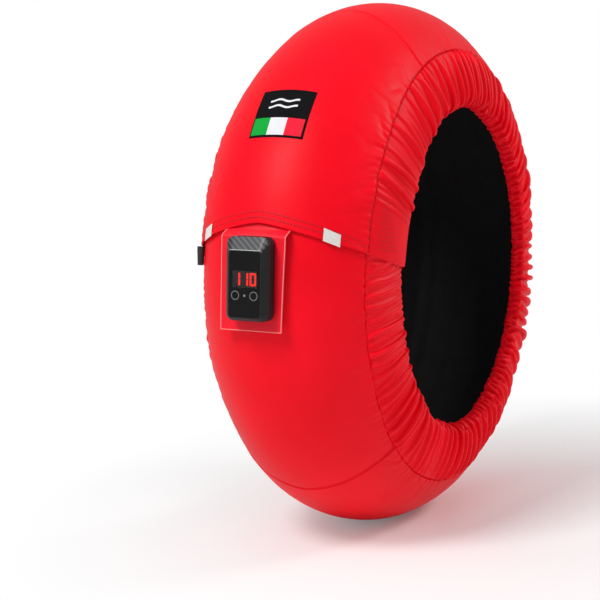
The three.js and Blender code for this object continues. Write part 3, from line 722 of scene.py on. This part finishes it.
for hand, side, seed in (("right", 1, 20), ("left", -1, 40)):
    side_panel(hand, side, "flap", flap_hem, cross_seam, flap_height, flap_gathers, seed, 0.29)
    side_panel(hand, side, "main", cross_seam, full_turn, no_rise, full_gathers, seed + 7, 1.2)
    side_panel(hand, side, "front", lower_seam, front_end, no_rise, front_gathers, seed + 14, 0.39)

# Stitching
# Twisted polyester thread: two rows along the flap's hem, one along each seam with the side panels,
# and rows across the stiffened corners of the flap.
thread_width = 0.0009
stitch_lift = 0.0009
hem_row_angles = (1.3, 2.4)
seam_row_inset = 0.55
corner_row_count = 11
corner_row_gap = 1.15
corner_row_start = 2.2
corner_row_turns = (5, 22)

# Polyester thread: red, drawn darker than the cloth as painted shade for the dimples that the stitches pull
# into it, so that each stitch shows as a small dash
thread, shader = material_of("polyester_thread_red_painted_shade")
ply = noise(thread, 900.0, 2.0)
join_inputs(thread, shader, {"Base Color": toned(thread, ply, "8E0010", "B40014"), "Roughness": 0.6})


def point_along(path, run, at):
    """The point of a path at a distance from its start."""
    return np.array([np.interp(at, run, path[:, k]) for k in range(3)])


def stitch_corners(path, above, run, start, length):
    """The four corners of one stitch, a flat dash that lies on the cloth."""
    first = point_along(path, run, start)
    last = point_along(path, run, start + length)
    sideways = np.cross(last - first, point_along(above, run, start) - first)
    sideways *= thread_width / 2 / np.linalg.norm(sideways)
    return [first + sideways, last + sideways, last - sideways, first - sideways]


# Angles, turns, stitch pitch and the share of it that shows as thread
stitch_rows = []
across_flap = np.linspace(-seam_turn + 1, seam_turn - 1, 900)
for above in hem_row_angles:
    stitch_rows.append((flap_hem(across_flap) + above, across_flap, 0.0042, 0.62))
for side in (1, -1):
    along_seam = np.linspace(7.5, 66, 700)
    seam_row = np.full_like(along_seam, side * (seam_turn - seam_row_inset))
    stitch_rows.append((along_seam, seam_row, 0.0036, 0.6))
    for row in range(corner_row_count):
        out = np.linspace(seam_turn + corner_row_turns[0], seam_turn + corner_row_turns[1] - row, 60)
        level = flap_hem(seam_turn + 8) + corner_row_start + corner_row_gap * row
        stitch_rows.append((np.full_like(out, level), side * out, 0.0026, 0.55))
corners = []
for angles, turns, pitch, share in stitch_rows:
    path = cover_point(angles, turns, flap_height(angles) + stitch_lift)
    above = cover_point(angles, turns, flap_height(angles) + stitch_lift + 0.001)
    run = np.r_[0, np.linalg.norm(np.diff(path, axis=0), axis=1).cumsum()]
    for start in np.arange(pitch, run[-1] - pitch, pitch):
        corners += stitch_corners(path, above, run, start, share * pitch)
quads = np.arange(len(corners)).reshape(-1, 4)
stitching = mesh_of("flap_stitching", corners, quads)
stitching.data.materials.append(thread)
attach(stitching, "root")

# Hem elastic, hook tape and loop tape
# Flat braided elastic runs inside each hem. The hook tape is sewn under the flap and the loop
# tape on the front panel.
elastic_turns = (162, 176)
elastic_level = -0.002
hook_level = -0.0017
loop_level = 0.0011
hem_angles = np.linspace(0, 360, 361)
tape_angles = np.linspace(16, 27, 24)
tape_turns = np.linspace(-44, 44, 60)

# Braided elastic: dull black, roughened by its ribs
braid, shader = material_of("elastic_braided")
ribs = bumped(braid, noise(braid, 700.0, 2.0), 0.0003)
join_inputs(braid, shader, {"Base Color": colour("1C1C1E"), "Roughness": 0.8, "Normal": ribs})

# Nylon pile: the dullest black, with a fuzz of loops about 1 mm wide
pile, shader = material_of("nylon_loop_pile")
loops = add_node(pile, "ShaderNodeTexVoronoi", {"Scale": 900.0}).outputs["Distance"]
fuzz = bumped(pile, loops, 0.0006)
join_inputs(pile, shader, {"Base Color": colour("101012"), "Roughness": 0.95, "Normal": fuzz})


def tape(name, node, angles, turns, rise, level, material):
    """A flat tape sewn to the cover, over a range of angles and turns."""
    across, along = np.meshgrid(angles, turns)
    made = cloth_of(name, on_floor(cover_point(across, along, rise(across) + level)))
    made.data.materials.append(material)
    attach(made, "root")
    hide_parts(node)
    return made


for hand, side in (("right", 1), ("left", -1)):
    turns = side * np.linspace(*elastic_turns, 4)
    name, node = f"elastic_{hand}", f"hem_elastic_{hand}"
    tape(name, node, hem_angles, turns, no_rise, elastic_level, braid)
hook = tape(
    "hook_strip", "hook_tape", tape_angles, tape_turns, flap_height, hook_level, pile
)
loop = tape(
    "loop_strip", "loop_tape", tape_angles, tape_turns, no_rise, loop_level, pile
)

# Woven patch
# A damask label with an overlocked black edge, sewn flat to the flap. It has two heat waves in
# white on a black field, over a band in green, white and red.
patch_angles = (30.3, 41.5)
patch_half_turn = 16
patch_border = 0.04
stripe_edges = (0.35, 0.66)
band_top = 0.385
wave_bends = 19.0
wave_sway = 0.022
first_wave = 0.47
wave_gap = 0.13
wave_width = 0.042
wave_field_up = (0.52, 0.86)
wave_field_across = (0.24, 0.76)

angles, turns = np.meshgrid(
    np.linspace(*patch_angles, 60), np.linspace(-patch_half_turn, patch_half_turn, 60)
)
u, v = np.meshgrid(np.linspace(0, 1, 60), np.linspace(0, 1, 60))
to_edge = np.minimum.reduce([u, 1 - u, v, 1 - v])
lift = 0.0011 * smooth(to_edge, -0.001, 0.012) - 0.0003 * smooth(to_edge, 0.03, 0.05)
height = flap_height(angles) + tread_height(angles, turns, 1) * 0.3 + 0.0001 + lift
patch = cloth_of("woven_label", cover_point(angles, turns, height))
corner_points = [corner.vertex_index for corner in patch.data.loops]
patch_uv = np.stack([v, u], -1).reshape(-1, 2).astype(np.float32)[corner_points]
patch.data.uv_layers["cloth"].data.foreach_set("uv", patch_uv.ravel())

# Damask: flat, dull colours with hard edges. Its UV runs from 0 to 1, so the threads are drawn
# 1.3 mm apart, where real ones of 0.2 mm can't show
label, shader = material_of("damask_label_woven")
place = add_node(label, "ShaderNodeTexCoord").outputs["UV"]
axes = add_node(label, "ShaderNodeSeparateXYZ", {"Vector": place})
across, up = axes.outputs["X"], axes.outputs["Y"]


def mix_colour(material, share, low, high):
    """The low colour where the share is 0 and the high one where it is 1."""
    made = add_node(material, "ShaderNodeMix", {"Factor": share}, data_type="RGBA")
    join_inputs(material, made, {6: low, 7: high})
    return made.outputs[2]


black = colour("0A090C")
white_or_green = arithmetic(label, "GREATER_THAN", across, stripe_edges[0])
red_or_white = arithmetic(label, "GREATER_THAN", across, stripe_edges[1])
stripes = mix_colour(label, white_or_green, colour("12A53C"), colour("E6E6EA"))
stripes = mix_colour(label, red_or_white, stripes, colour("F0243C"))
field = mix_colour(label, arithmetic(label, "GREATER_THAN", up, band_top), stripes, black)
inside = 1.0
for value in (across, up):
    for from_side in (value, arithmetic(label, "SUBTRACT", 1.0, value)):
        over_border = arithmetic(label, "GREATER_THAN", from_side, patch_border)
        inside = arithmetic(label, "MULTIPLY", inside, over_border)

# Two heat waves woven in white on the black field
bends = arithmetic(label, "SINE", arithmetic(label, "MULTIPLY", across, wave_bends))
line = arithmetic(label, "SUBTRACT", up, arithmetic(label, "MULTIPLY", bends, wave_sway))
in_wave = arithmetic(label, "MODULO", arithmetic(label, "SUBTRACT", line, first_wave), wave_gap)
waves = arithmetic(label, "LESS_THAN", in_wave, wave_width)
for value, (low, high) in ((line, wave_field_up), (across, wave_field_across)):
    waves = arithmetic(label, "MULTIPLY", waves, arithmetic(label, "GREATER_THAN", value, low))
    waves = arithmetic(label, "MULTIPLY", waves, arithmetic(label, "LESS_THAN", value, high))
field = mix_colour(label, waves, field, colour("E8E8EC"))
join_inputs(
    label,
    shader,
    {
        "Base Color": mix_colour(label, inside, black, field),
        "Roughness": 0.8,
        "Specular IOR Level": 0.12,
        "Normal": woven(label, 0.02, 0.0004),
    },
)
patch.data.materials.append(label)
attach(patch, "root")
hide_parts("woven_patch")

# Hem tags
# Two small white tapes sewn to the flap, one on each side, just above the hem. Each follows the
# slant of the hem's end.
tag_height = 0.0012
tag_angles = (10.6, 13.2)
tag_turns = (34.5, 43.5)
tag_slant = 0.115

# Polyester tape: plain white with a faint grain
tape_white, shader = material_of("polyester_tape_white")
grain = bumped(tape_white, noise(tape_white, 400.0, 3.0), 0.0003)
join_inputs(tape_white, shader, {"Base Color": colour("DEDCD6"), "Roughness": 0.7, "Normal": grain})
for hand, side in (("right", 1), ("left", -1)):
    across, along = np.meshgrid(np.linspace(*tag_angles, 12), side * np.linspace(*tag_turns, 24))
    across = across - tag_slant * (np.abs(along) - tag_turns[0])
    tag = cloth_of(f"tag_{hand}", cover_point(across, along, flap_height(across) + tag_height), side < 0)
    tag.data.materials.append(tape_white)
    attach(tag, "root")
    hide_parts(f"hem_tag_{hand}")

# Tab
# Two leaves of uncoated red cloth with cut edges, sewn under the flap. They carry the controller,
# and the supply lead runs down between them.
controller_tilt = math.asin(16 / 333.5)
controller_radius = 0.3377
face_side = np.array([0, -1, 0])
face_up = np.array([math.sin(controller_tilt), 0, math.cos(controller_tilt)])
face_out = np.array([-math.cos(controller_tilt), 0, math.sin(controller_tilt)])
tab_half_width = 0.043
tab_low = -0.0595
tab_top = 0.069
tab_bend = (0.045, 0.056)
tab_narrowing = 0.0045
tab_taper_length = 0.13
tab_fold_inset = 0.0042
tab_fold_width = 0.0007
tab_unevenness = 0.0004
cut_edge = 0.0009
lead_half_width = 0.005
lead_low = 0.0225


def on_face(x, y, z):
    """A point in the controller's frame: sideways, up its face, and out of the tab."""
    x, y, z = np.broadcast_arrays(np.asarray(x, float), np.asarray(y, float), np.asarray(z, float))
    out = (z[..., None] + controller_radius) * face_out
    return x[..., None] * face_side + y[..., None] * face_up + out


def under_flap(x, y, level, above_cover):
    """A point of the tab: flat in front of the cover, then bent back to lie on it under the flap."""
    radius = widest_radius + crown_to_widest * np.sqrt(1 - (x / half_width) ** 2)
    lying = np.sqrt(radius**2 - y**2) - controller_radius + above_cover
    return on_face(x, y, level + (lying - level) * smooth(y, *tab_bend))


# Uncoated nylon: nearly as red as the cover, with a pale line of uneven width along each cut edge
tab_nylon, shader = material_of("tab_nylon_red")
place = add_node(tab_nylon, "ShaderNodeAttribute", attribute_name="to_edge").outputs["Fac"]
pale_edge_width = arithmetic(tab_nylon, "MULTIPLY", noise(tab_nylon, 500.0, 2.0), cut_edge * 2)
at_edge = arithmetic(tab_nylon, "LESS_THAN", place, pale_edge_width)
join_inputs(
    tab_nylon,
    shader,
    {
        "Base Color": toned(tab_nylon, at_edge, "EC0A26", "FF8A86"),
        "Roughness": 0.5,
        "Specular IOR Level": 0.25,
        "Normal": woven(tab_nylon, 0.0013, 0.0001),
    },
)

# Each leaf's level in front of the cover, and its height above it under the flap
tab_leaves = (("tab_front_leaf", -0.0002, 0.0016), ("tab_back_leaf", -0.0018, 0.0003))
share_across, share_up = np.meshgrid(np.linspace(0, 1, 90), np.linspace(0, 1, 110))
for node, level, lying in tab_leaves:
    y = tab_low + share_up * (tab_top - tab_low)
    right_edge = tab_half_width - tab_narrowing * (1 + (tab_top - y) / tab_taper_length)
    x = -tab_half_width + share_across * (right_edge + tab_half_width)
    from_fold = (x + tab_half_width - tab_fold_inset) / tab_fold_width
    fold_line = -tab_unevenness * np.exp(-(from_fold**2))
    waves = tab_unevenness * cloth_noise(x / 0.03, y / 0.03, 77) * smooth(np.hypot(x, y), 0.03, 0.05)
    leaf = cloth_of(f"{node}_cloth", under_flap(x, y, level + fold_line + waves, lying))
    to_edge = np.minimum.reduce([x + tab_half_width, right_edge - x, y - tab_low])
    layer = leaf.data.attributes.new("to_edge", "FLOAT", "POINT")
    layer.data.foreach_set("value", to_edge.ravel().astype(np.float32))
    leaf.data.materials.append(tab_nylon)
    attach(leaf, "root")
    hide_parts(node)

# Controller
# Two glass-filled nylon shells on a seal, moulded black, with a printed overlay, a clear lens over
# the display, and a steel clamp plate with four screws behind the tab.
digit_level = 0.02116
bevel_low = 0.032
bevel_level = 0.0164
ring_level = 0.0224
bevel_line_half_width = 0.0188
bevel_line_edges = (0.03155, 0.0322)
bevel_line_level = 0.0226
bevel_line_slope = 0.4
lead_level = -0.001
lead_above_cover = 0.0009
carbon_stripe = 0.0047576

# Glass-filled nylon: black with a fine sparkle, so that its edges catch a soft light
moulded, shader = material_of("glass_filled_nylon_moulded")
spark = bumped(moulded, noise(moulded, 1200.0, 2.0), 0.0001)
black_plastic = {"Base Color": colour("101113"), "Roughness": 0.5, "Specular IOR Level": 0.3}
join_inputs(moulded, shader, {**black_plastic, "Normal": spark})

# Printed polyester: a flat, smooth black
overlay, shader = material_of("polyester_overlay_printed")
join_inputs(overlay, shader, {"Base Color": colour("060608"), "Roughness": 0.35, "Specular IOR Level": 0.2})

# Moulded rubber: a dull, slightly grey black
rubber, shader = material_of("nitrile_rubber_moulded")
join_inputs(rubber, shader, {"Base Color": colour("1B1B1D"), "Roughness": 0.7})

# Circuit board: green and half glossy
laminate, shader = material_of("circuit_board_laminate")
join_inputs(laminate, shader, {"Base Color": colour("1E5B34"), "Roughness": 0.45})

# Lit digits: red, bright enough to read but not white
lit, shader = material_of("display_digits_lit")
digit_light = {"Emission Color": colour("FF1808"), "Emission Strength": 1.3}
join_inputs(lit, shader, {"Base Color": colour("FF2010"), **digit_light})

# Printed twill: pale slanted stripes on black, 4.8 mm from one to the next
carbon, shader = material_of("carbon_print_twill")
place = add_node(carbon, "ShaderNodeTexCoord").outputs["Object"]
slant = add_node(carbon, "ShaderNodeMapping", {"Vector": place, "Rotation": (math.radians(52), 0, 0)})
twill = add_node(
    carbon,
    "ShaderNodeTexWave",
    {"Vector": slant.outputs["Vector"], "Scale": wave_repeat / carbon_stripe},
    bands_direction="Y",
)
stripes = toned(carbon, twill.outputs["Fac"], "141416", "46484B", (0.42, 0.58))
join_inputs(carbon, shader, {"Base Color": stripes, "Roughness": 0.4})

# Grey ink of the key rings, and a pale line along the bevel's edge that is a painted highlight, standing in
# for the light that the chamfer catches
ring_print, shader = material_of("key_ring_print")
join_inputs(ring_print, shader, {"Base Color": colour("7A7E82"), "Roughness": 0.4})
painted_edge_highlight, shader = material_of("bevel_edge_painted_highlight")
join_inputs(painted_edge_highlight, shader, {"Base Color": colour("B4B8BA"), "Roughness": 0.4})

# Clear acrylic: a thin reflection in front of the digits
clear, shader = material_of("acrylic_lens_clear")
see_through = {"Roughness": 0.03, "IOR": 1.49, "Transmission Weight": 1.0}
join_inputs(clear, shader, {"Base Color": colour("D8C8C8"), **see_through})

for material, names in (
    (moulded, ("case_back", "case_front")),
    (rubber, ("case_gasket", "lead_boot")),
    (overlay, ("front_overlay", "display_block")),
    (laminate, ("circuit_board",)),
    (ring_print, ("indicator_lamp",)),
    (clear, ("display_lens",)),
    (steel, ("touch_spring_left", "touch_spring_right", "clamp_plate")),
    (steel, ("case_screw_1", "case_screw_2", "case_screw_3", "case_screw_4")),
):
    for name in names:
        finish_part(name, material)


def second_finish(name, material, chosen):
    """Gives another finish to the faces that chosen picks, by place up, level and slope."""
    part = parts[name]
    part.data.materials.append(material)
    for face in part.data.polygons:
        middle = np.array(part.matrix_world @ face.center)
        slope = np.dot(np.array(part.matrix_world.to_3x3() @ face.normal), face_out)
        if chosen(np.dot(middle, face_up), np.dot(middle, face_out) - controller_radius, slope):
            face.material_index = len(part.data.materials) - 1


def is_digit(up, level, slope):
    """The digits stand out of the display block."""
    return level > digit_level


def is_bevel(up, level, slope):
    """The long bevel at the top of the front shell is neither flat nor upright."""
    return 0.1 < slope < 0.97 and up > bevel_low and level > bevel_level


def is_key_ring(up, level, slope):
    """The rings stand out of the overlay."""
    return slope > 0.9 and level > ring_level


second_finish("display_block", lit, is_digit)
second_finish("case_front", carbon, is_bevel)
second_finish("front_overlay", ring_print, is_key_ring)

# The flat supply lead that comes out of the controller and runs up between the tab's leaves
across, along = np.meshgrid(
    np.linspace(-lead_half_width, lead_half_width, 7), np.linspace(lead_low, tab_top, 50)
)
ribbon = cloth_of("flat_lead", under_flap(across, along, lead_level, lead_above_cover))
ribbon.data.materials.append(rubber)
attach(ribbon, "root")
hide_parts("supply_lead")

# A painted highlight: a pale line where the printed bevel meets the overlay, for the light that its chamfer
# catches
across, along = np.meshgrid(
    np.linspace(-bevel_line_half_width, bevel_line_half_width, 12), bevel_line_edges
)
level = bevel_line_level - bevel_line_slope * (along - 0.0315)
edge_line = cloth_of("bevel_edge_highlight_line", on_face(across, along, level))
edge_line.data.materials.append(painted_edge_highlight)
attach(edge_line, "root")

# Studio
# A plain pale floor that fades to white round the shadow, a white surround, and two soft lamps.
floor_size = 12
floor_gap = 0.0002
shadow_middle = (0.12, -0.3, -0.33)
shadow_reach = (0.24, 0.8)
ambient_level = 0.47

floor_z = floor_level - floor_gap
floor_corners = [(x * floor_size, y * floor_size, floor_z) for x, y in ((-1, -1), (1, -1), (1, 1), (-1, 1))]
floor = mesh_of("floor", floor_corners, [(0, 1, 2, 3)])

# Painted floor: takes the shadow near the warmer, and is seen as plain white away from it
pale, shader = material_of("painted_floor")
join_inputs(pale, shader, {"Base Color": colour("F4F4F4"), "Roughness": 0.9, "Specular IOR Level": 0.1})
place = add_node(pale, "ShaderNodeTexCoord").outputs["Object"]
distance = add_node(
    pale, "ShaderNodeVectorMath", {0: place, 1: shadow_middle}, operation="DISTANCE"
).outputs["Value"]
fade_inputs = {"Value": distance, "From Min": shadow_reach[0], "From Max": shadow_reach[1]}
fade = add_node(pale, "ShaderNodeMapRange", fade_inputs).outputs["Result"]
white = add_node(pale, "ShaderNodeEmission", {"Color": (1, 1, 1, 1), "Strength": 1.0})
blend = add_node(pale, "ShaderNodeMixShader", {0: fade, 1: shader.outputs[0], 2: white.outputs[0]})
by_camera = add_node(pale, "ShaderNodeLightPath").outputs["Is Camera Ray"]
surface = add_node(
    pale, "ShaderNodeMixShader", {0: by_camera, 1: shader.outputs[0], 2: blend.outputs[0]}
)
join_inputs(pale, pale.node_tree.nodes["Material Output"], {"Surface": surface.outputs[0]})
floor.data.materials.append(pale)

# The surround is seen as pure white, also through the lens, and lights the warmer less than that
world = bpy.data.worlds.new("studio")
bpy.context.scene.world = world
world.use_nodes = True
rays = add_node(world, "ShaderNodeLightPath").outputs
seen = arithmetic(world, "MAXIMUM", rays["Is Camera Ray"], rays["Is Transmission Ray"])
level = ranged(world, seen, ambient_level, 1.0)
join_inputs(world, world.node_tree.nodes["Background"], {"Color": (1, 1, 1, 1), "Strength": level})


def soft_lamp(name, place, size, power):
    """A square lamp that shines at the warmer's middle."""
    lamp = bpy.data.objects.new(name, bpy.data.lights.new(name, "AREA"))
    lamp.data.size = size
    lamp.data.energy = power
    lamp.location = place
    lamp.rotation_euler = Vector(place).to_track_quat("Z", "Y").to_euler()
    bpy.context.scene.collection.objects.link(lamp)


soft_lamp("key_lamp", (-2.0, 0.5, 1.9), 0.8, 50)
soft_lamp("side_lamp", (1.3, -2.0, 1.7), 0.8, 31)

bpy.context.scene.view_settings.view_transform = "Standard"
